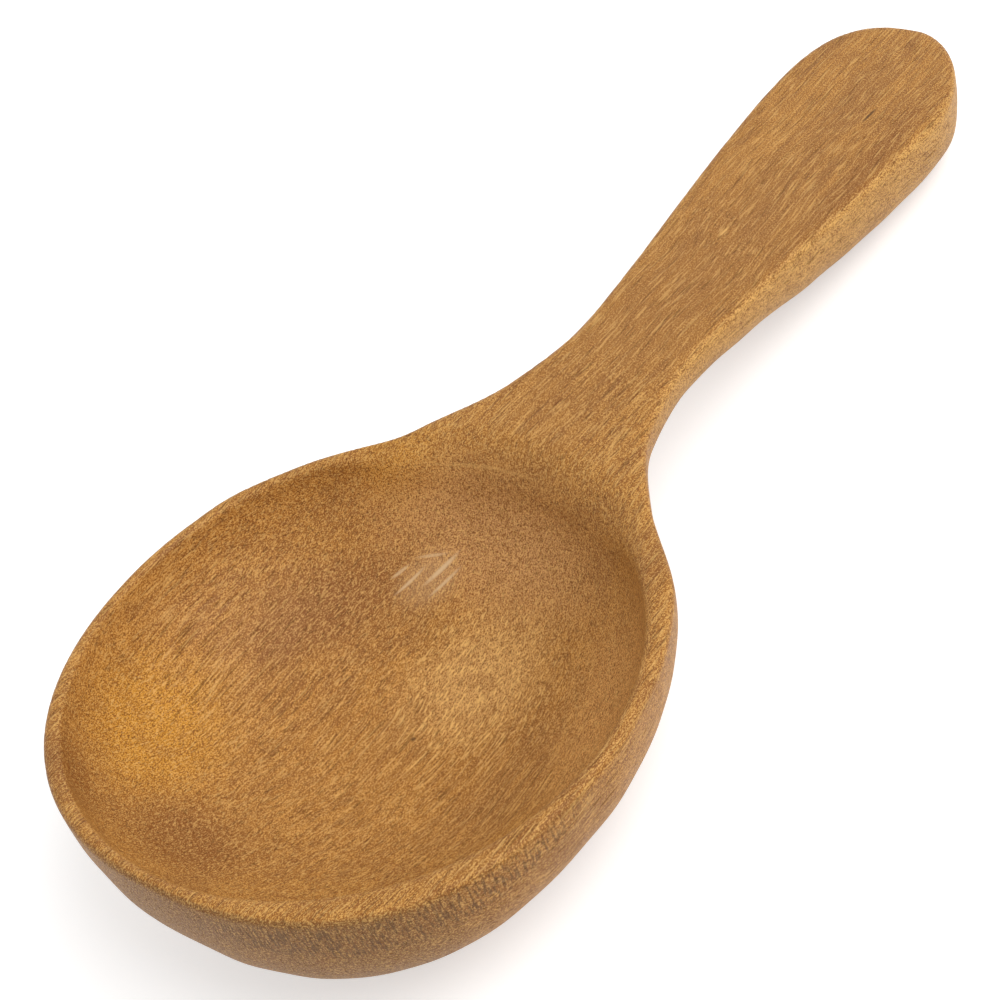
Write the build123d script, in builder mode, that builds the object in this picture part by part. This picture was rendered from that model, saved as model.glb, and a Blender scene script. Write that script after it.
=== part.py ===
"""A short wooden measuring spoon, carved from one piece: a round bowl and a flat-topped handle.

Millimetres. The spoon is drawn level, with the rim's datum at z = 0, the widest section of
the bowl at x = 0 and the handle running along +X. Two flats in one plane are then sanded
under the bowl and under the grip, and the spoon is stood on them: in its finished place
the surface below it is z = 0 and the origin is under the middle of its length.
"""

from build123d import *
import os

# Bowl, outside
bowl_radius = 25.1          # plan radius of the rim, from the widest section to the tip
bowl_depth = 15.9           # datum to underside, at the widest section
bowl_fullness_share = 0.78  # how far the section reaches towards its corner

# Bowl, inside
lip_width = 2.0             # wood left between the hollow and the outside of the rim
floor_thickness = 2.7       # wood left under the hollow
hollow_setback = 0.5        # centre of the hollow, towards the tip from the widest section
hollow_fullness_share = 0.75

# Handle
neck_distance = 37.5        # widest section of the bowl to the narrowest of the neck
neck_width = 11.7
neck_depth = 5.1
grip_distance = 73.0        # widest section of the bowl to the widest of the handle
grip_width = 17.7
grip_depth = 8.8
handle_fullness_share = 0.79
end_reach = 11.7            # widest section of the handle to its rounded end

# Rim and handle top, one side profile
rim_dip = 1.1               # how far the rim sinks beside the middle of the bowl
tip_rise = 0.2              # how far it stands above the datum again at the tip

# Rounded edges, outside and inside of the rim and round the handle's top
edge_round = 0.5

# The two flats that the spoon stands on
flat_cut = 0.3              # wood sanded off each of the two lowest places

# Working allowances
head_room = 1.5             # wood above the datum, which the side profile trims away
overrun = 2.0               # how far cuts run past the wood

# Sections between the widest of the bowl and the neck: place, narrowing and thinning, as
# shares of the way from the bowl's size to the neck's
shoulder_shares = [
    (0.2, 0.09, 0.07),
    (0.4, 0.30, 0.24),
    (0.6, 0.68, 0.62),
    (0.8, 0.925, 0.91),
]

# Sections between the neck and the grip: place, widening and thickening, in the same way
grip_shares = [
    (0.25, 0.17, 0.28),
    (0.50, 0.49, 0.70),
    (0.75, 0.81, 0.93),
]


def between(low, high, share):
    """The size that lies a share of the way from one size to another."""
    return low + (high - low) * share


def draw_belly(half_width, depth, fullness, side):
    """Half of the rounded underside, from the top of the head room down to the keel."""
    outward = Vector(side, 0)
    height = depth + head_room
    Spline(
        outward * half_width + Vector(0, head_room),
        outward * half_width * fullness + Vector(0, head_room - height * fullness),
        Vector(0, -depth),
        tangents=[Vector(0, -1), -outward],
    )


def draw_section(half_width, depth, fullness):
    """A whole cross section."""
    Line((-half_width, head_room), (half_width, head_room))
    draw_belly(half_width, depth, fullness, 1)
    draw_belly(half_width, depth, fullness, -1)


def draw_half_section(half_width, depth, fullness):
    """The same section from the centre line outwards, to be turned about it."""
    draw_belly(half_width, depth, fullness, 1)
    Polyline((half_width, head_room), (0, head_room), (0, -depth))


hollow_radius = bowl_radius - lip_width
hollow_depth = bowl_depth - floor_thickness
bowl_half_width = bowl_radius
neck_half_width = neck_width / 2
grip_half_width = grip_width / 2
grip_to_neck = grip_distance - neck_distance
end_distance = grip_distance + end_reach

# Every section of the skin, as distance, half width, depth and fullness
sections = [(0, bowl_half_width, bowl_depth, bowl_fullness_share)]
for place, narrowing, thinning in shoulder_shares:
    sections.append((
        neck_distance * place,
        between(bowl_half_width, neck_half_width, narrowing),
        between(bowl_depth, neck_depth, thinning),
        between(bowl_fullness_share, handle_fullness_share, place),
    ))
sections.append((neck_distance, neck_half_width, neck_depth, handle_fullness_share))
for place, widening, thickening in grip_shares:
    sections.append((
        neck_distance + grip_to_neck * place,
        between(neck_half_width, grip_half_width, widening),
        between(neck_depth, grip_depth, thickening),
        handle_fullness_share,
    ))
sections.append((grip_distance, grip_half_width, grip_depth, handle_fullness_share))

# One more section past each end mirrors the one before it, so that the skin runs straight
# through the end sections
first_distance, *first_shape = sections[1]
last_distance, *last_shape = sections[-2]
sections.insert(0, (-first_distance, *first_shape))
sections.append((2 * grip_distance - last_distance, *last_shape))

# The front of the bowl: its widest section turned half round
with BuildPart() as bowl_front:
    with BuildSketch(Plane.YZ):
        with BuildLine():
            draw_half_section(bowl_half_width, bowl_depth, bowl_fullness_share)
        make_face()
    revolve(axis=Axis.Z, revolution_arc=180)

# The end of the handle: the grip's section turned half round, and drawn out to its reach
with BuildPart() as handle_end:
    with BuildSketch(Plane.YZ):
        with BuildLine():
            draw_half_section(grip_half_width, grip_depth, handle_fullness_share)
        make_face()
    revolve(axis=Axis.Z, revolution_arc=-180)
    scale(by=(end_reach / grip_half_width, 1, 1))

# The hollow: a half profile turned all round
with BuildPart() as hollow:
    with BuildSketch(Plane.XZ):
        with BuildLine():
            draw_half_section(hollow_radius, hollow_depth, hollow_fullness_share)
        make_face()
    revolve(axis=Axis.Z)

# The plane of the two flats, which meets the keel under the bowl and under the grip
bowl_low_point = Vector(0, 0, flat_cut - bowl_depth)
grip_low_point = Vector(grip_distance, 0, flat_cut - grip_depth)
keel_direction = grip_low_point - bowl_low_point
rest_plane = Plane(
    origin=bowl_low_point, x_dir=keel_direction, z_dir=keel_direction.cross(Vector(0, 1, 0))
)

with BuildPart() as carved:
    # Bowl, neck and grip are one skin through the sections
    for distance, half_width, depth, fullness in sections:
        with BuildSketch(Plane.YZ.offset(distance)):
            with BuildLine():
                draw_section(half_width, depth, fullness)
            make_face()
    loft()
    split(bisect_by=Plane.YZ, keep=Keep.TOP)
    split(bisect_by=Plane.YZ.offset(grip_distance), keep=Keep.BOTTOM)
    add(bowl_front.part)
    with Locations((grip_distance, 0, 0)):
        add(handle_end.part)

    # Rim and handle top, trimmed to one side profile
    with BuildSketch(Plane.XZ.offset(-bowl_radius - overrun)):
        with BuildLine():
            rim_line = Spline(
                (-bowl_radius - overrun, tip_rise),
                (-hollow_setback, -rim_dip),
                (neck_distance, 0),
                (grip_distance, 0),
                (end_distance + overrun, 0),
            )
            Polyline(
                rim_line @ 1,
                (end_distance + overrun, head_room + overrun),
                (-bowl_radius - overrun, head_room + overrun),
                rim_line @ 0,
            )
        make_face()
    extrude(amount=2 * (bowl_radius + overrun), mode=Mode.SUBTRACT)

    # Hollow
    with Locations((-hollow_setback, 0, 0)):
        add(hollow.part, mode=Mode.SUBTRACT)

    # Both edges of the top face, eased
    top_face = carved.faces().sort_by(Axis.Z)[-1]
    fillet(top_face.edges(), edge_round)

    # Flats
    split(bisect_by=rest_plane, keep=Keep.TOP)

# Stood on its flats, with the origin under the middle of its length
leaning = rest_plane.location.inverse()
leaning_box = carved.part.moved(leaning).bounding_box()
with BuildPart() as spoon:
    with Locations(Location((-leaning_box.center().X, 0, 0)) * leaning):
        add(carved.part)

os.makedirs("parts", exist_ok=True)
spoon.part.label = "spoon"
export_step(spoon.part, "parts/spoon.step")
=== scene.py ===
"""A short wooden measuring spoon on a pale floor, in soft light from the right.

The visible spoon is one mesh. It starts as a rough closed blank, is remeshed evenly, and every
point is then moved onto the carved surface, which is written below as a formula in millimetres,
in the spoon's own level frame: x runs from the widest section of the bowl towards the handle,
z = 0 is the rim's datum. The rest of the scene is in metres, in the frame of the CAD.
"""

import math

import bmesh
import bpy
import numpy as np
from mathutils import Matrix, Vector


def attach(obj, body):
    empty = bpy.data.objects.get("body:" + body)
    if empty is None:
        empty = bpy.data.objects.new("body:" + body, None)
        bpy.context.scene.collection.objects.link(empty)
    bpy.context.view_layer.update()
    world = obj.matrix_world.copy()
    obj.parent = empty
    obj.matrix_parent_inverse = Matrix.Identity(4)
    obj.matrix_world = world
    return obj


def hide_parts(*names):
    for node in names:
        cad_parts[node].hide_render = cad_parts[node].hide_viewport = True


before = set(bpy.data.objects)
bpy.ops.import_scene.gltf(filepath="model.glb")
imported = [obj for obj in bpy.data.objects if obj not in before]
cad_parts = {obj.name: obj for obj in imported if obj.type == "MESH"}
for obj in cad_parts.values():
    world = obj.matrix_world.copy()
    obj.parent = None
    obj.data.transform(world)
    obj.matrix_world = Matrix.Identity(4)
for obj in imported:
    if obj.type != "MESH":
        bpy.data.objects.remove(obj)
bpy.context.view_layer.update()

MM = 0.001

# The spoon's sizes in millimetres, close to the CAD's
BOWL_REACH = 24.86  # widest section to the tip
BOWL_HALF_WIDTH = 24.35
BOWL_DEPTH = 15.9
NECK_DISTANCE = 37.5
NECK_HALF_WIDTH = 5.85
NECK_DEPTH = 5.1
GRIP_DISTANCE = 73.0
GRIP_HALF_WIDTH = 8.8
GRIP_DEPTH = 8.8
END_REACH = 11.6
RIM_DIP = 1.1
TIP_RISE = 0.12
FLAT_CUT = 0.3
CAD_MIDDLE = 31.14  # under the widest section to the CAD's origin
LEAN = math.atan2(BOWL_DEPTH - GRIP_DEPTH, GRIP_DISTANCE)  # as the spoon rests

# Skin between bowl and neck, then between neck and grip: place, change of width and change of
# depth, each as a share of the way
SHOULDER_SHARES = [
    (0, 0, 0),
    (0.2, 0.065, 0.07),
    (0.4, 0.27, 0.24),
    (0.6, 0.665, 0.62),
    (0.8, 0.923, 0.91),
]
GRIP_SHARES = [
    (0, 0, 0),
    (0.25, 0.17, 0.28),
    (0.50, 0.49, 0.70),
    (0.75, 0.81, 0.93),
    (1, 1, 1),
]

# The near side, towards -Y, is carved a little fuller at the shoulder than the far side
SHOULDER_PLACE = 18.0
SHOULDER_SPREAD = 6.0
SHOULDER_LOPSIDED_NEAR = 0.65
SHOULDER_LOPSIDED_FAR = 0.95

# The bowl and neck also sit a little towards -Y
BOWL_SHIFT = 0.14
SHIFT_ENDS = (60, 38)
NECK_SHIFT = 0.2
NECK_SHIFT_SPREAD = 9.0

# Roundness of plan and section: 2 is an ellipse, more is squarer
TIP_PLAN_FAR = 2.11
TIP_PLAN_NEAR = 2.45
END_PLAN_FAR = 2.8
END_PLAN_NEAR = 1.7
BELLY_ROUNDNESS = 2.68
TIP_ROUNDNESS = 3.05
SHOULDER_ROUNDNESS = 2.5
SHOULDER_ROUNDNESS_PLACE = 0.6 * NECK_DISTANCE
END_ROUNDNESS = 3.3

# The hollow
HOLLOW_CENTRE = -0.5
HOLLOW_HALF_LENGTH_TIP = 23.2
HOLLOW_HALF_LENGTH_HANDLE = 22.7
HOLLOW_HALF_WIDTH_FAR = 23.4
HOLLOW_HALF_WIDTH_NEAR = 23.1
HOLLOW_DEPTH = 13.2
HOLLOW_PLAN = 2
HOLLOW_ROUNDNESS = 2.0

# Rounded edges, and where along or across the spoon one radius turns into the next. The softer
# lip towards the handle covers a wedge, which is narrower for a larger share of y.
RIM_ROUND = 0.6
LIP_ROUND_FAR = 0.4
LIP_ROUND_NEAR = 0.75
LIP_ROUND_HANDLE = 3.2
HANDLE_ROUND = 0.55
FLAT_ROUND = 0.2
RIM_TO_HANDLE = (20, 35)
FAR_TO_NEAR = (8, -8)
LIP_TO_HANDLE = (0, 14)
LIP_WEDGE = 0.9

# How much longer the rim's dip is towards the tip than the bowl's own reach
DIP_REACH = 1.3

# Shallow waves left by the carving and sanding: height, lengths along and across the spoon, how
# much they slant down its sides, and the heights at which they start and are full
WAVE_HEIGHT = 0.08
WAVE_LENGTHS = [(17.0, 6.1), (9.3, 11.7), (5.9, 8.2)]
WAVE_SLANT = 0.7
WAVE_FADE = (-1, -5)

# The mesh: the rough blank's points, the size of the even remesh, then the turns that move each
# point onto the carved surface, the first of them with smoothing
BLANK_TURN_POINTS = 91
BLANK_SIDE_POINTS = 147
BLANK_RING_POINTS = 60
BLANK_WIDEST = 40.0
BLANK_HALVINGS = 30
BLANK_WELD = 0.001
VOXEL = 0.4
TURNS = 14
SMOOTHED_TURNS = 10
SMOOTHING = 0.5
LARGEST_MOVE = 0.4
SLOPE_STEP = 0.02
SMALLEST_SLOPE = 1e-4
SMALLEST_SLOPE_SQUARED = 0.2


def smooth_through(x, knots, values):
    """A smooth curve through the values at the knots that doesn't overshoot them."""
    gaps = np.diff(knots)
    slopes = np.diff(values) / gaps
    tangents = np.zeros(len(knots))
    weight_a = 2 * gaps[1:] + gaps[:-1]
    weight_b = gaps[1:] + 2 * gaps[:-1]
    with np.errstate(divide="ignore", invalid="ignore"):
        harmonic = (weight_a + weight_b) / (weight_a / slopes[:-1] + weight_b / slopes[1:])
    tangents[1:-1] = np.where(slopes[1:] * slopes[:-1] > 0, harmonic, 0)
    place = np.clip(x, knots[0], knots[-1])
    i = np.clip(np.searchsorted(knots, place, side="right") - 1, 0, len(gaps) - 1)
    t = (place - knots[i]) / gaps[i]
    return (
        (1 + 2 * t) * (1 - t) ** 2 * values[i]
        + t * (1 - t) ** 2 * gaps[i] * tangents[i]
        + t * t * (3 - 2 * t) * values[i + 1]
        + t * t * (t - 1) * gaps[i] * tangents[i + 1]
    )


shoulder = np.array(SHOULDER_SHARES)
grip = np.array(GRIP_SHARES)
SKIN_PLACES = np.concatenate([
    shoulder[:, 0] * NECK_DISTANCE,
    NECK_DISTANCE + grip[:, 0] * (GRIP_DISTANCE - NECK_DISTANCE),
])
SKIN_HALF_WIDTHS = np.concatenate([
    BOWL_HALF_WIDTH + (NECK_HALF_WIDTH - BOWL_HALF_WIDTH) * shoulder[:, 1],
    NECK_HALF_WIDTH + (GRIP_HALF_WIDTH - NECK_HALF_WIDTH) * grip[:, 1],
])
SKIN_DEPTHS = np.concatenate([
    BOWL_DEPTH + (NECK_DEPTH - BOWL_DEPTH) * shoulder[:, 2],
    NECK_DEPTH + (GRIP_DEPTH - NECK_DEPTH) * grip[:, 2],
])


def round_corner(a, b, radius):
    """Where two half spaces meet: the larger of their distances, with the edge rounded."""
    return np.minimum(-radius, np.maximum(a, b)) + np.hypot(
        np.maximum(a + radius, 0), np.maximum(b + radius, 0)
    )


def ease(x, low, high):
    t = np.clip((x - low) / (high - low), 0, 1)
    return t * t * (3 - 2 * t)


def bump(x, place, spread):
    return np.exp(-(((x - place) / spread) ** 2))


def norm(a, b, power):
    return (np.abs(a) ** power + np.abs(b) ** power) ** (1 / power)


def outside(p):
    """Under 1 inside the spoon's outer skin, 1 on it."""
    x, y, z = p.T
    y = (
        y
        + BOWL_SHIFT * ease(x, *SHIFT_ENDS)
        + NECK_SHIFT * bump(x, NECK_DISTANCE, NECK_SHIFT_SPREAD)
    )
    near = y < 0
    half_width = smooth_through(x, SKIN_PLACES, SKIN_HALF_WIDTHS)
    lopsided = np.where(near, SHOULDER_LOPSIDED_NEAR, -SHOULDER_LOPSIDED_FAR)
    half_width = half_width + lopsided * bump(x, SHOULDER_PLACE, SHOULDER_SPREAD)
    depth = smooth_through(x, SKIN_PLACES, SKIN_DEPTHS)
    along = np.where(x < 0, x / BOWL_REACH, np.maximum(x - GRIP_DISTANCE, 0) / END_REACH)
    tip_power = np.where(near, TIP_PLAN_NEAR, TIP_PLAN_FAR)
    end_power = np.where(near, END_PLAN_NEAR, END_PLAN_FAR)
    reach = norm(along, y / half_width, np.where(x < NECK_DISTANCE, tip_power, end_power))
    power = (
        BELLY_ROUNDNESS
        + (SHOULDER_ROUNDNESS - BELLY_ROUNDNESS)
        * bump(x, SHOULDER_ROUNDNESS_PLACE, SHOULDER_SPREAD)
        + (END_ROUNDNESS - BELLY_ROUNDNESS) * ease(x, GRIP_DISTANCE, GRIP_DISTANCE + END_REACH / 2)
        + (TIP_ROUNDNESS - BELLY_ROUNDNESS) * ease(x, 0, -BOWL_REACH)
    )
    return norm(reach, np.minimum(z, 0) / depth, power)


def hollow_reach(x, y):
    """The hollow in plan: 0 at its middle, 1 at its edge."""
    x, y = x - HOLLOW_CENTRE, y + BOWL_SHIFT
    half_length = np.where(x < 0, HOLLOW_HALF_LENGTH_TIP, HOLLOW_HALF_LENGTH_HANDLE)
    half_width = np.where(y < 0, HOLLOW_HALF_WIDTH_NEAR, HOLLOW_HALF_WIDTH_FAR)
    return norm(x / half_length, y / half_width, HOLLOW_PLAN)


def hollow(p):
    """Under 1 inside the hollow, 1 on its wall."""
    x, y, z = p.T
    return norm(hollow_reach(x, y), z / HOLLOW_DEPTH, HOLLOW_ROUNDNESS)


def waves(p):
    """The shallow waves of the worked surface."""
    x, y, z = p.T
    total = 0
    for number, (along, across) in enumerate(WAVE_LENGTHS):
        total = total + np.sin(math.tau * x / along + 2 * number) * np.cos(
            math.tau * (y + WAVE_SLANT * z) / across + number
        )
    return WAVE_HEIGHT * (total / len(WAVE_LENGTHS) + 1) * ease(z, *WAVE_FADE)


def rim_height(x):
    """Side profile of the rim and of the handle's top."""
    dip = -RIM_DIP * ease(x, NECK_DISTANCE, 0) * ease(x, -BOWL_REACH * DIP_REACH, 0)
    return dip + TIP_RISE * ease(x, -BOWL_REACH / 2, -BOWL_REACH)


def slopes_of(form, p):
    """How fast the form's value grows along x, y and z."""
    return [
        (form(p + axis) - form(p - axis)) / (2 * SLOPE_STEP) for axis in np.eye(3) * SLOPE_STEP
    ]


def distance_of(form, p):
    """The form's value turned into a distance, by its slope."""
    slope = np.linalg.norm(slopes_of(form, p), axis=0)
    return (form(p) - 1) / np.maximum(slope, SMALLEST_SLOPE)


def spoon_distance(p):
    """How far a point is outside the carved wood; under 0 is inside."""
    x, y, z = p.T
    edge = RIM_ROUND + (HANDLE_ROUND - RIM_ROUND) * ease(x, *RIM_TO_HANDLE)
    body = round_corner(distance_of(outside, p), z - rim_height(x), edge)
    lip = LIP_ROUND_FAR + (LIP_ROUND_NEAR - LIP_ROUND_FAR) * ease(y, *FAR_TO_NEAR)
    lip = lip + (LIP_ROUND_HANDLE - lip) * ease(x - LIP_WEDGE * np.abs(y), *LIP_TO_HANDLE)
    carved = round_corner(body, -distance_of(hollow, p), lip)
    under = x * math.sin(LEAN) - (z + BOWL_DEPTH - FLAT_CUT) * math.cos(LEAN)
    return round_corner(carved + waves(p), under, FLAT_ROUND)


def to_level(points):
    """From the CAD's frame in metres to the level frame in millimetres."""
    x, y, z = (points / MM).T
    x = x + CAD_MIDDLE
    return np.column_stack([
        x * math.cos(LEAN) - z * math.sin(LEAN),
        y,
        x * math.sin(LEAN) + z * math.cos(LEAN) - BOWL_DEPTH + FLAT_CUT,
    ])


def to_cad(points):
    """From the level frame in millimetres to the CAD's frame in metres."""
    x, y, z = points.T
    z = z + BOWL_DEPTH - FLAT_CUT
    return MM * np.column_stack([
        x * math.cos(LEAN) + z * math.sin(LEAN) - CAD_MIDDLE,
        y,
        -x * math.sin(LEAN) + z * math.cos(LEAN),
    ])


def rough_blank():
    """A closed mesh near the carved surface: rings of points, each from the top of the spine out
    to the plan outline and back to the bottom of the spine."""
    half_turn = np.linspace(0, math.pi, BLANK_TURN_POINTS)
    side_places = np.linspace(0, GRIP_DISTANCE, BLANK_SIDE_POINTS)[1:-1]
    rings = [(0.0, math.pi / 2 + t) for t in half_turn]
    rings += [(x, -math.pi / 2) for x in side_places]
    rings += [(GRIP_DISTANCE, t - math.pi / 2) for t in half_turn]
    rings += [(x, math.pi / 2) for x in side_places[::-1]]
    shares = np.sin(np.linspace(0, math.pi / 2, BLANK_RING_POINTS))
    spine, angle = np.array(rings).T
    low, high = np.zeros(len(rings)), np.full(len(rings), BLANK_WIDEST)
    for _ in range(BLANK_HALVINGS):
        middle = (low + high) / 2
        level_probe = np.column_stack([
            spine + np.cos(angle) * middle, np.sin(angle) * middle, 0 * middle,
        ])
        within = outside(level_probe) < 1
        low, high = np.where(within, middle, low), np.where(within, high, middle)
    x = spine[:, None] + (np.cos(angle) * low)[:, None] * shares
    y = (np.sin(angle) * low)[:, None] * shares
    rim = rim_height(x)
    depth = smooth_through(x, SKIN_PLACES, SKIN_DEPTHS)
    in_plan = hollow_reach(x, y)
    floor = -HOLLOW_DEPTH * np.maximum(1 - in_plan**2, 0) ** 0.5
    top = np.where(in_plan < 1, np.minimum(floor, rim), rim)
    bottom = rim - (depth + rim) * (1 - shares**BELLY_ROUNDNESS) ** (1 / BELLY_ROUNDNESS)
    grid = np.concatenate([
        np.stack([x, y, top], axis=-1), np.stack([x, y, bottom], axis=-1)[:, ::-1][:, 1:],
    ], axis=1)
    count, length = grid.shape[:2]
    index = np.arange(count * length).reshape(count, length)
    after = np.roll(index, -1, axis=0)
    faces = np.stack([index[:, :-1], after[:, :-1], after[:, 1:], index[:, 1:]], axis=-1)
    mesh = bpy.data.meshes.new("blank")
    mesh.from_pydata(to_cad(grid.reshape(-1, 3)).tolist(), [], faces.reshape(-1, 4).tolist())
    shape = bmesh.new()
    shape.from_mesh(mesh)
    bmesh.ops.remove_doubles(shape, verts=shape.verts, dist=BLANK_WELD * MM)
    bmesh.ops.recalc_face_normals(shape, faces=shape.faces)
    shape.to_mesh(mesh)
    shape.free()
    return mesh


def carve_spoon():
    """The visible spoon, as an object whose points all lie on the carved surface."""
    piece = bpy.data.objects.new("carved_spoon", rough_blank())
    bpy.context.scene.collection.objects.link(piece)
    remesh = piece.modifiers.new("even", "REMESH")
    remesh.mode = "VOXEL"
    remesh.voxel_size = VOXEL * MM
    graph = bpy.context.evaluated_depsgraph_get()
    even = bpy.data.meshes.new_from_object(piece.evaluated_get(graph))
    piece.modifiers.clear()
    piece.data = even
    flat = np.empty(len(even.vertices) * 3)
    even.vertices.foreach_get("co", flat)
    points = to_level(flat.reshape(-1, 3))
    ends = np.empty(len(even.edges) * 2, dtype=np.int64)
    even.edges.foreach_get("vertices", ends)
    ends = ends.reshape(-1, 2)
    both = np.concatenate([ends, ends[:, ::-1]])
    neighbours = np.bincount(both[:, 0], minlength=len(points))
    for turn in range(TURNS):
        if turn < SMOOTHED_TURNS:
            sums = np.column_stack([
                np.bincount(both[:, 0], weights=points[both[:, 1], k], minlength=len(points))
                for k in range(3)
            ])
            points = points + SMOOTHING * (sums / neighbours[:, None] - points)
        value = spoon_distance(points)
        slope = np.column_stack(slopes_of(spoon_distance, points))
        size = np.maximum((slope**2).sum(1), SMALLEST_SLOPE_SQUARED)
        move = -(value / size)[:, None] * slope
        length = np.linalg.norm(move, axis=1)
        move *= np.minimum(1, LARGEST_MOVE / np.maximum(length, 1e-9))[:, None]
        points = points + move
    points = to_cad(points)
    even.vertices.foreach_set("co", points.ravel())
    even.shade_smooth()
    even.update()
    return piece


def tint(red, green, blue):
    """A display colour, each part out of 255, as the shader takes it."""
    return tuple(
        (part / 255 / 12.92) if part < 10 else ((part / 255 + 0.055) / 1.055) ** 2.4
        for part in (red, green, blue)
    )


class Material:
    """Builds a material's nodes from short calls; a value may be a number or another's output."""

    def __init__(self, name):
        self.made = bpy.data.materials.new(name)
        self.made.use_nodes = True
        self.nodes = self.made.node_tree.nodes
        self.links = self.made.node_tree.links
        self.shader = self.nodes["Principled BSDF"]

    def feed(self, socket, value):
        if isinstance(value, bpy.types.NodeSocket):
            self.links.new(value, socket)
        elif isinstance(value, tuple) and len(value) == 3 and socket.type == "RGBA":
            socket.default_value = (*value, 1)
        else:
            socket.default_value = value

    def add(self, kind, values, output=0, **settings):
        node = self.nodes.new(kind)
        for key, value in settings.items():
            setattr(node, key, value)
        for key, value in values.items():
            self.feed(node.inputs[key], value)
        return node.outputs[output]

    def math(self, operation, a, b=0.0):
        return self.add("ShaderNodeMath", {0: a, 1: b}, operation=operation)

    def noise(self, vector, scale, detail, roughness=0.5):
        return self.add("ShaderNodeTexNoise", {
            "Vector": vector, "Scale": scale, "Detail": detail, "Roughness": roughness,
        })

    def stretch(self, vector, scale, place=(0, 0, 0), angle=(0, 0, 0)):
        return self.add("ShaderNodeMapping", {
            "Vector": vector, "Location": place, "Rotation": angle, "Scale": scale,
        })

    def grain(self, vector, scale, detail, roughness=0.5, place=(0, 0, 0)):
        """Noise with a fineness of its own in each direction."""
        return self.noise(self.stretch(vector, scale, place), 1.0, detail, roughness)

    def between(self, value, low, high, at_low=0.0, at_high=1.0):
        return self.add("ShaderNodeMapRange", {
            "Value": value, "From Min": low, "From Max": high, "To Min": at_low, "To Max": at_high,
        }, interpolation_type="SMOOTHSTEP")

    def mix(self, share, a, b):
        return self.add("ShaderNodeMix", {0: share, 6: a, 7: b}, output=2, data_type="RGBA")

    def layers(self, colour, pattern, layers):
        """Lays colours over one another where the pattern's value is in their ranges."""
        for start, full, strength, paint in layers:
            colour = self.mix(self.between(pattern, start, full, 0.0, strength), colour, paint)
        return colour

    def spot(self, vector, place, radii, angle=0.0, strength=1.0, core=0.3):
        """The strength inside the core of an ellipsoid, fading to nothing at its edge."""
        inner = self.add("ShaderNodeMapping", {
            "Vector": vector,
            "Location": place,
            "Rotation": (0, 0, math.radians(angle)),
            "Scale": radii,
        }, vector_type="TEXTURE")
        reach = self.add("ShaderNodeVectorMath", {0: inner}, output="Value", operation="LENGTH")
        return self.between(reach, core, 1.0, strength, 0.0)


# Colours of the oiled wood, and of light and shade painted on it
WOOD = tint(172, 115, 45)
WOOD_PALE = tint(200, 142, 68)
WOOD_DARK = tint(134, 83, 36)
# A red of the wood, also the colour of a band of painted shade on the hollow's near wall
RED_WOOD_AND_SHADE = tint(120, 64, 14)
WOOD_GOLD = tint(206, 141, 28)
PORE = tint(80, 50, 24)
# Pale fibres; the same colour paints a highlight on the hollow's edge
FIBRE_AND_HIGHLIGHT = tint(222, 174, 102)
# Painted glint: pale streaks of light in the hollow towards the handle
PAINTED_GLINT = tint(212, 178, 134)
# Painted light: a paler colour for the hollow's wall towards the handle
PAINTED_HANDLE_WALL_LIGHT = tint(198, 145, 92)
# Painted shade: a darker colour for the bowl's front wall
PAINTED_FRONT_SHADE = tint(104, 72, 44)
# Painted light: a paler colour for the handle's near side
PAINTED_SIDE_LIGHT = tint(206, 154, 82)
WOOD_BROWN = tint(126, 72, 30)
WOOD_FLOOR = tint(208, 158, 94)
# Painted light: a paler colour for the hollow's near wall
PAINTED_NEAR_WALL_LIGHT = tint(206, 146, 80)

# How far the grain and the patches sway, in millimetres
GRAIN_SWAY = 2.5
PATCH_SWAY = 1.5

# How fine the patterns are along, across and through the spoon, per millimetre
SWAY_SCALE = 0.07
RING_SCALE = (0.022, 0.24, 0.3)
STREAK_SCALE = (0.12, 2.0, 2.0)
BLOTCH_SCALE = 0.45
DOT_SCALE = (1.6, 2.4, 2.4)
MOTTLE_SCALE = (6.0, 10.0, 10.0)
VESSEL_SCALE = (0.3, 5.5, 5.5)
PALE_VESSEL_SCALE = (0.4, 5.5, 5.5)
TICK_SCALE = (5.0, 7.0, 0.8)

# Patterns that would repeat another are taken from elsewhere in the noise
PALE_VESSEL_OFFSET = (31, 7, 3)
TICK_OFFSET = (5, 3, 9)

# Layers of colour that follow a pattern: the value at which a layer starts, the value at which it
# is full, its strength there, and its colour
RING_LAYERS = [(0.45, 0.68, 0.7, WOOD_DARK), (0.46, 0.3, 0.45, WOOD_PALE)]
STREAK_LAYERS = [(0.5, 0.62, 0.8, WOOD_DARK), (0.5, 0.38, 0.75, WOOD_PALE)]
BLOTCH_LAYERS = [(0.5, 0.7, 0.35, WOOD_DARK)]
MOTTLE_LAYERS = [(0.46, 0.62, 1.0, WOOD_DARK), (0.52, 0.36, 0.65, FIBRE_AND_HIGHLIGHT)]

# The same first two values for the patterns that are used in other ways too, and the vessels'
# strength
DOT_RANGE = (0.5, 0.62)
VESSEL_RANGE = (0.56, 0.72)
VESSEL_STRENGTH = 0.45
PALE_VESSEL_RANGE = (0.54, 0.7)
PALE_VESSEL_STRENGTH = 0.6
TICK_RANGE = (0.46, 0.62)

# How far the surface's normal turns towards -X or -Y before the painted light on the side, the
# painted shade on the front and the ticks of the cut across the grain show
SIDE_FACING = (-0.35, -0.75)
FRONT_FACING = (-0.2, -0.6)
TICK_FACING = (-0.3, -0.6)
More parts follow.
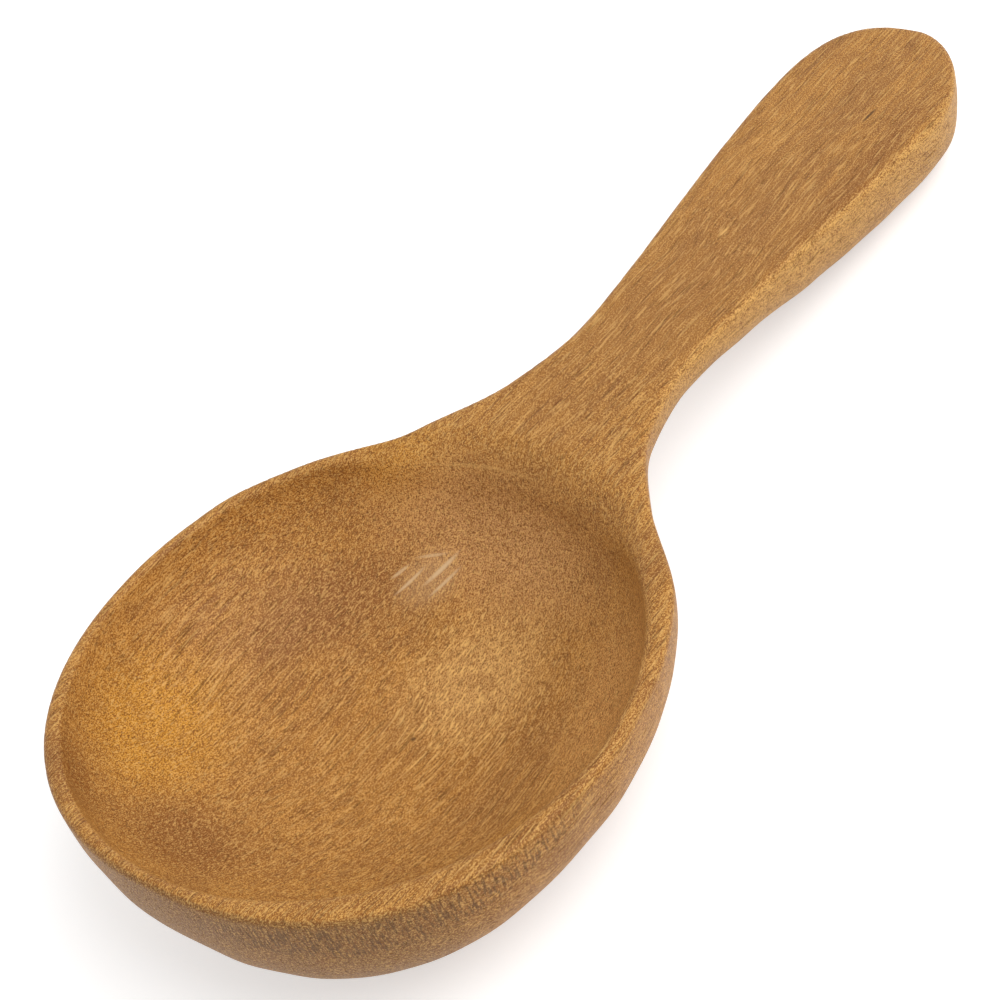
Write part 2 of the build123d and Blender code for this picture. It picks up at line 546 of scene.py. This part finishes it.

# Places where the wood's colour differs, some of them painted light or shade: colour, strength,
# place and radii in the level frame in millimetres, turn about the vertical in degrees. A core,
# here and below, is the share of the radii within which the strength is full.
PATCHES = [
    (WOOD_GOLD, 1.0, (-9, 16, -7), (11, 9, 8), 35),  # gold patch in the hollow
    (WOOD_GOLD, 0.85, (19, 11, -3), (5, 6, 5), -40),  # gold patch towards the neck
    (RED_WOOD_AND_SHADE, 0.9, (-19, 13.5, -1.5), (6, 3.4, 4), 50),  # red band at the far rim
    (RED_WOOD_AND_SHADE, 1.0, (-16.5, 6.5, -8.5), (7, 9, 7), 20),  # dark band low at the tip
    (WOOD_BROWN, 0.9, (8, 13, -9.5), (12, 6, 6), -28),  # brown band across the floor
    (WOOD_FLOOR, 0.9, (9, -2, -12), (11, 8, 5), -20),  # pale floor
    (RED_WOOD_AND_SHADE, 0.35, (8, -19, -5), (12, 2.6, 5), 15),  # painted shade: red band along the near wall of the hollow
    (PAINTED_HANDLE_WALL_LIGHT, 1.0, (18, 2, -6), (8, 17, 9), 0),  # painted light on the wall towards the handle
    (PAINTED_NEAR_WALL_LIGHT, 1.0, (7, -17, -6), (15, 9, 9), 20),  # painted light on the near wall of the hollow
    (RED_WOOD_AND_SHADE, 0.85, (64.5, -6.6, 0), (18, 1.9, 2.2), -1),  # dark edge of the handle
    (WOOD_DARK, 0.5, (44, 0, 0), (30, 10, 6), 0),  # dark neck
]
PATCH_CORE = 0.2

# Where painted light makes the handle's near side paler, where painted shade darkens the bowl's
# outer wall, and where pale flecks, dark end-grain dots and end-grain ticks are densest
SIDE_PLACE = (60, -8, -3)
SIDE_RADII = (36, 8, 12)
SIDE_STRENGTH = 0.95
SIDE_CORE = 0.7
FRONT_PLACE = (-24, -9, -8)
FRONT_RADII = (24, 23, 20)
FRONT_STRENGTH = 0.85
FRONT_CORE = 0.5
FLECK_PLACE = (8, -2, -12)
FLECK_RADII = (11, 9, 6)
FLECK_ELSEWHERE = 0.8
DOT_PLACE = (19, -2, -4)
DOT_RADII = (9, 14, 8)
DOT_STRENGTH = 0.7
TICK_PLACE = (-17, -17, -2.6)
TICK_RADII = (21, 20, 2.6)
TICK_STRENGTH = 0.6
TICK_CORE = 0.5

# A faint pale line painted round the hollow's edge at the handle: a painted highlight
EDGE_HIGHLIGHT_PLACE = (-0.5, 0, 0)
EDGE_HIGHLIGHT_RADIUS = 22.75
EDGE_HIGHLIGHT_HALF_WIDTH = 0.16
EDGE_HIGHLIGHT_SPOT = (21.5, 4.5, -0.4)
EDGE_HIGHLIGHT_SPOT_RADII = (6, 10, 3)
EDGE_HIGHLIGHT_STRENGTH = 0.6

# Single marks, given like the places above; the last six are a painted glint in the hollow
MARKS = [
    (PORE, 0.85, (71.5, -2.6, 0), (1.5, 0.22, 1), -3),  # pore slit
    (FIBRE_AND_HIGHLIGHT, 0.8, (52.8, 0.7, 0), (1.1, 0.2, 1), -3),  # pale slit
    (PORE, 0.8, (2, -0.1, -13), (0.35, 0.3, 1), 0),  # dark dot
    (FIBRE_AND_HIGHLIGHT, 0.8, (7.3, -3.2, -12.4), (0.8, 0.3, 1.5), -20),  # pale speck
    (FIBRE_AND_HIGHLIGHT, 0.7, (9.8, -2.4, -12), (0.5, 0.25, 1.5), -20),  # second pale speck
    (FIBRE_AND_HIGHLIGHT, 0.6, (9.2, -5.4, -12), (0.5, 0.25, 1.5), -20),  # third pale speck
    (PAINTED_GLINT, 0.2, (14.4, 7, -9.6), (4.5, 3, 3), -24),  # painted glint: haze
    (PAINTED_GLINT, 1.0, (15.6, 6, -9.3), (2.8, 0.28, 2.5), -28),  # painted glint: main streak
    (PAINTED_GLINT, 0.8, (14.8, 5.3, -9.8), (2.4, 0.2, 2.5), -26),  # painted glint: streak beside it
    (PAINTED_GLINT, 0.85, (13.6, 8.2, -9.8), (2.3, 0.2, 2.5), -25),  # painted glint: long streak
    (PAINTED_GLINT, 0.7, (13.7, 9.4, -9.2), (1.2, 0.2, 2.5), -30),  # painted glint: short streak
    (PAINTED_GLINT, 0.6, (15.9, 7.3, -8.8), (1.9, 0.17, 2.5), -61),  # painted glint: cross streak
]
MARK_CORE = 0.3

# Sheen and relief
ROUGHNESS = 0.48
VESSEL_ROUGHNESS = 0.2  # added in the vessels
SPECULAR = 0.2
BUMP_STRENGTH = 0.35
BUMP_HEIGHT = 0.12
MOTTLE_RELIEF = 0.5


def wood_material():
    wood = Material("wood")
    place = wood.add("ShaderNodeTexCoord", {}, output="Object")
    level = wood.stretch(
        place, (1 / MM,) * 3,
        (CAD_MIDDLE * math.cos(LEAN), 0, CAD_MIDDLE * math.sin(LEAN) - BOWL_DEPTH + FLAT_CUT),
        (0, -LEAN, 0),
    )
    sway = wood.add("ShaderNodeTexNoise", {
        "Vector": level, "Scale": SWAY_SCALE, "Detail": 1.0,
    }, output="Color")
    sway = wood.add("ShaderNodeVectorMath", {0: sway, 1: (0.5, 0.5, 0.5)}, operation="SUBTRACT")

    def swayed_by(reach):
        return wood.add(
            "ShaderNodeVectorMath", {0: sway, 1: (reach,) * 3, 2: level}, operation="MULTIPLY_ADD"
        )

    swayed = swayed_by(GRAIN_SWAY)
    nearly = swayed_by(PATCH_SWAY)

    # Growth rings, then streaks of fibre, both long with the grain
    rings = wood.grain(swayed, RING_SCALE, detail=2.0)
    streaks = wood.grain(swayed, STREAK_SCALE, detail=4.0, roughness=0.8)
    colour = wood.layers(WOOD, rings, RING_LAYERS)
    colour = wood.layers(colour, streaks, STREAK_LAYERS)
    for paint, strength, where, radii, angle in PATCHES:
        patch = wood.spot(nearly, where, radii, angle, strength, PATCH_CORE)
        colour = wood.mix(patch, colour, paint)

    # Painted light makes the handle's near side paler, and painted shade darkens the bowl's front
    # wall, by which way the surface faces
    normal = wood.add("ShaderNodeNewGeometry", {}, output="Normal")
    to_side = wood.add("ShaderNodeSeparateXYZ", {0: normal}, output="Y")
    to_front = wood.add("ShaderNodeSeparateXYZ", {0: normal}, output="X")
    # Painted light: paler where the handle's near side faces -Y
    side = wood.spot(nearly, SIDE_PLACE, SIDE_RADII, 0, SIDE_STRENGTH, SIDE_CORE)
    side = wood.math("MULTIPLY", wood.between(to_side, *SIDE_FACING), side)
    colour = wood.mix(side, colour, PAINTED_SIDE_LIGHT)
    # Painted shade: darker where the bowl's front wall faces -X
    front_shade = wood.spot(nearly, FRONT_PLACE, FRONT_RADII, 0, 1.0, FRONT_CORE)
    front_shade = wood.math("MULTIPLY", wood.between(to_front, *FRONT_FACING), front_shade)
    colour = wood.mix(wood.math("MULTIPLY", front_shade, FRONT_STRENGTH), colour, PAINTED_FRONT_SHADE)

    # Soft blotches, dots of end grain, and the fine mottle of the oiled surface
    blotches = wood.noise(level, BLOTCH_SCALE, detail=3.0)
    colour = wood.layers(colour, blotches, BLOTCH_LAYERS)
    dots = wood.grain(level, DOT_SCALE, detail=2.0, roughness=0.7)
    dense = wood.spot(nearly, DOT_PLACE, DOT_RADII, 0, DOT_STRENGTH)
    dots = wood.math("MULTIPLY", wood.between(dots, *DOT_RANGE), dense)
    colour = wood.mix(dots, colour, WOOD_DARK)
    mottle = wood.grain(level, MOTTLE_SCALE, detail=2.0, roughness=0.7)
    colour = wood.layers(colour, mottle, MOTTLE_LAYERS)

    # Vessels: fine dark dashes along the grain, and pale ones
    vessels = wood.grain(swayed, VESSEL_SCALE, detail=1.0)
    vessels = wood.between(vessels, *VESSEL_RANGE)
    colour = wood.mix(wood.math("MULTIPLY", vessels, VESSEL_STRENGTH), colour, PORE)
    fleck = wood.math("ADD", wood.spot(level, FLECK_PLACE, FLECK_RADII), FLECK_ELSEWHERE)
    pale = wood.grain(swayed, PALE_VESSEL_SCALE, detail=1.0, place=PALE_VESSEL_OFFSET)
    pale = wood.between(pale, *PALE_VESSEL_RANGE, 0.0, PALE_VESSEL_STRENGTH)
    colour = wood.mix(wood.math("MULTIPLY", pale, fleck), colour, FIBRE_AND_HIGHLIGHT)

    # Short upright ticks of the end grain, under the lip
    ticks = wood.grain(level, TICK_SCALE, detail=1.0, place=TICK_OFFSET)
    dense = wood.spot(nearly, TICK_PLACE, TICK_RADII, 0, TICK_STRENGTH, TICK_CORE)
    ticks = wood.math("MULTIPLY", wood.between(ticks, *TICK_RANGE), dense)
    outward = wood.between(wood.math("MINIMUM", to_front, to_side), *TICK_FACING)
    colour = wood.mix(wood.math("MULTIPLY", ticks, outward), colour, PORE)

    # The painted highlight on the hollow's edge, and the single marks with the painted glint
    off_edge = wood.add("ShaderNodeVectorMath", {0: level, 1: EDGE_HIGHLIGHT_PLACE}, operation="SUBTRACT")
    off_edge = wood.add("ShaderNodeVectorMath", {0: off_edge, 1: (1, 1, 0)}, operation="MULTIPLY")
    off_edge = wood.add("ShaderNodeVectorMath", {0: off_edge}, output="Value", operation="LENGTH")
    off_edge = wood.math("ABSOLUTE", wood.math("SUBTRACT", off_edge, EDGE_HIGHLIGHT_RADIUS))
    # Painted highlight: a pale line along the hollow's edge at the handle
    edge_highlight = wood.spot(level, EDGE_HIGHLIGHT_SPOT, EDGE_HIGHLIGHT_SPOT_RADII, 0, EDGE_HIGHLIGHT_STRENGTH)
    edge_highlight = wood.math("MULTIPLY", wood.between(off_edge, EDGE_HIGHLIGHT_HALF_WIDTH, 0), edge_highlight)
    colour = wood.mix(edge_highlight, colour, FIBRE_AND_HIGHLIGHT)
    for paint, strength, where, radii, angle in MARKS:
        mark = wood.spot(level, where, radii, angle, strength, MARK_CORE)
        colour = wood.mix(mark, colour, paint)
    wood.feed(wood.shader.inputs["Base Color"], colour)

    # Sheen: the vessels stay dull
    rough = wood.add("ShaderNodeMath", {
        0: vessels, 1: VESSEL_ROUGHNESS, 2: ROUGHNESS,
    }, operation="MULTIPLY_ADD")
    wood.feed(wood.shader.inputs["Roughness"], rough)
    wood.shader.inputs["Specular IOR Level"].default_value = SPECULAR

    height = wood.math("SUBTRACT", wood.math("MULTIPLY", mottle, MOTTLE_RELIEF), vessels)
    bumped = wood.add("ShaderNodeBump", {
        "Height": height, "Strength": BUMP_STRENGTH, "Distance": BUMP_HEIGHT * MM,
    })
    wood.feed(wood.shader.inputs["Normal"], bumped)
    return wood.made


spoon = carve_spoon()
spoon.data.materials.append(wood_material())
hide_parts("spoon")
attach(spoon, "root")

# Camera: found in the level frame, where the photograph shows the rim's plane, and turned with
# the spoon into the frame of the CAD
AZIMUTH = math.radians(-39.46)
ELEVATION = math.radians(40.96)
ROLL = math.radians(-18.99)
DISTANCE = 198.45
TARGET = np.array([[17.61, -1.29, 0]])
LENS = 90
SENSOR = 36
NEAR_CLIP = 0.01
turn = Matrix.Rotation(LEAN, 3, "Y")
back = Vector((
    math.sin(AZIMUTH) * math.cos(ELEVATION),
    -math.cos(AZIMUTH) * math.cos(ELEVATION),
    math.sin(ELEVATION),
))
right = Vector((math.cos(AZIMUTH), math.sin(AZIMUTH), 0))
up = back.cross(right)
across = turn @ (right * math.cos(ROLL) + up * math.sin(ROLL))
upward = turn @ (up * math.cos(ROLL) - right * math.sin(ROLL))
back = turn @ back
camera_data = bpy.data.cameras.new("camera")
camera_data.lens = LENS
camera_data.sensor_width = SENSOR
camera_data.clip_start = NEAR_CLIP
camera = bpy.data.objects.new("camera", camera_data)
stand = Matrix.Translation(Vector(to_cad(TARGET)[0]) + back * DISTANCE * MM)
camera.matrix_world = stand @ Matrix((across, upward, back)).transposed().to_4x4()
bpy.context.scene.collection.objects.link(camera)
bpy.context.scene.camera = camera

# Floor and light
FLOOR_HALF_SIZE = 3
FLOOR_GREY = 0.8
FLOOR_ROUGHNESS = 0.9
FLOOR_SPECULAR = 0.1
FLOOR_GLOW = 0.45
WORLD_LIGHT = 0.66
KEY_PLACE = (0.25, -0.5, 0.8)
KEY_SIZE = 0.9
KEY_POWER = 6.2


def seen(tree):
    """1 for rays that show the background: from the camera, or off or through something."""
    path = tree.nodes.new("ShaderNodeLightPath")
    total = path.outputs["Is Camera Ray"]
    for name in ("Is Glossy Ray", "Is Transmission Ray"):
        larger = tree.nodes.new("ShaderNodeMath")
        larger.operation = "MAXIMUM"
        tree.links.new(total, larger.inputs[0])
        tree.links.new(path.outputs[name], larger.inputs[1])
        total = larger.outputs[0]
    return total


def floor_material():
    """A pale matt floor that adds a little white where it is seen, so that it ends in the white
    of the background and keeps the shadow."""
    floor_paint = Material("floor")
    floor_paint.shader.inputs["Base Color"].default_value = (FLOOR_GREY,) * 3 + (1,)
    floor_paint.shader.inputs["Roughness"].default_value = FLOOR_ROUGHNESS
    floor_paint.shader.inputs["Specular IOR Level"].default_value = FLOOR_SPECULAR
    floor_paint.shader.inputs["Emission Color"].default_value = (1, 1, 1, 1)
    glow = floor_paint.math("MULTIPLY", seen(floor_paint.made.node_tree), FLOOR_GLOW)
    floor_paint.feed(floor_paint.shader.inputs["Emission Strength"], glow)
    return floor_paint.made


floor_mesh = bpy.data.meshes.new("floor")
floor_mesh.from_pydata([
    (side_x * FLOOR_HALF_SIZE, side_y * FLOOR_HALF_SIZE, 0)
    for side_x, side_y in ((-1, -1), (1, -1), (1, 1), (-1, 1))
], [], [(0, 1, 2, 3)])
floor = bpy.data.objects.new("floor", floor_mesh)
floor_mesh.materials.append(floor_material())
bpy.context.scene.collection.objects.link(floor)

world = bpy.data.worlds.new("world")
world.use_nodes = True
background = world.node_tree.nodes["Background"]
background.inputs["Color"].default_value = (1, 1, 1, 1)
brightness = world.node_tree.nodes.new("ShaderNodeMapRange")
brightness.inputs["To Min"].default_value = WORLD_LIGHT
brightness.inputs["To Max"].default_value = 1
world.node_tree.links.new(seen(world.node_tree), brightness.inputs["Value"])
world.node_tree.links.new(brightness.outputs[0], background.inputs["Strength"])
bpy.context.scene.world = world

key_light = bpy.data.lights.new("key", "AREA")
key_light.shape = "DISK"
key_light.size = KEY_SIZE
key_light.energy = KEY_POWER
key = bpy.data.objects.new("key", key_light)
key.location = KEY_PLACE
key.rotation_euler = (-Vector(KEY_PLACE)).to_track_quat("-Z", "Y").to_euler()
bpy.context.scene.collection.objects.link(key)

bpy.context.scene.view_settings.view_transform = "Standard"
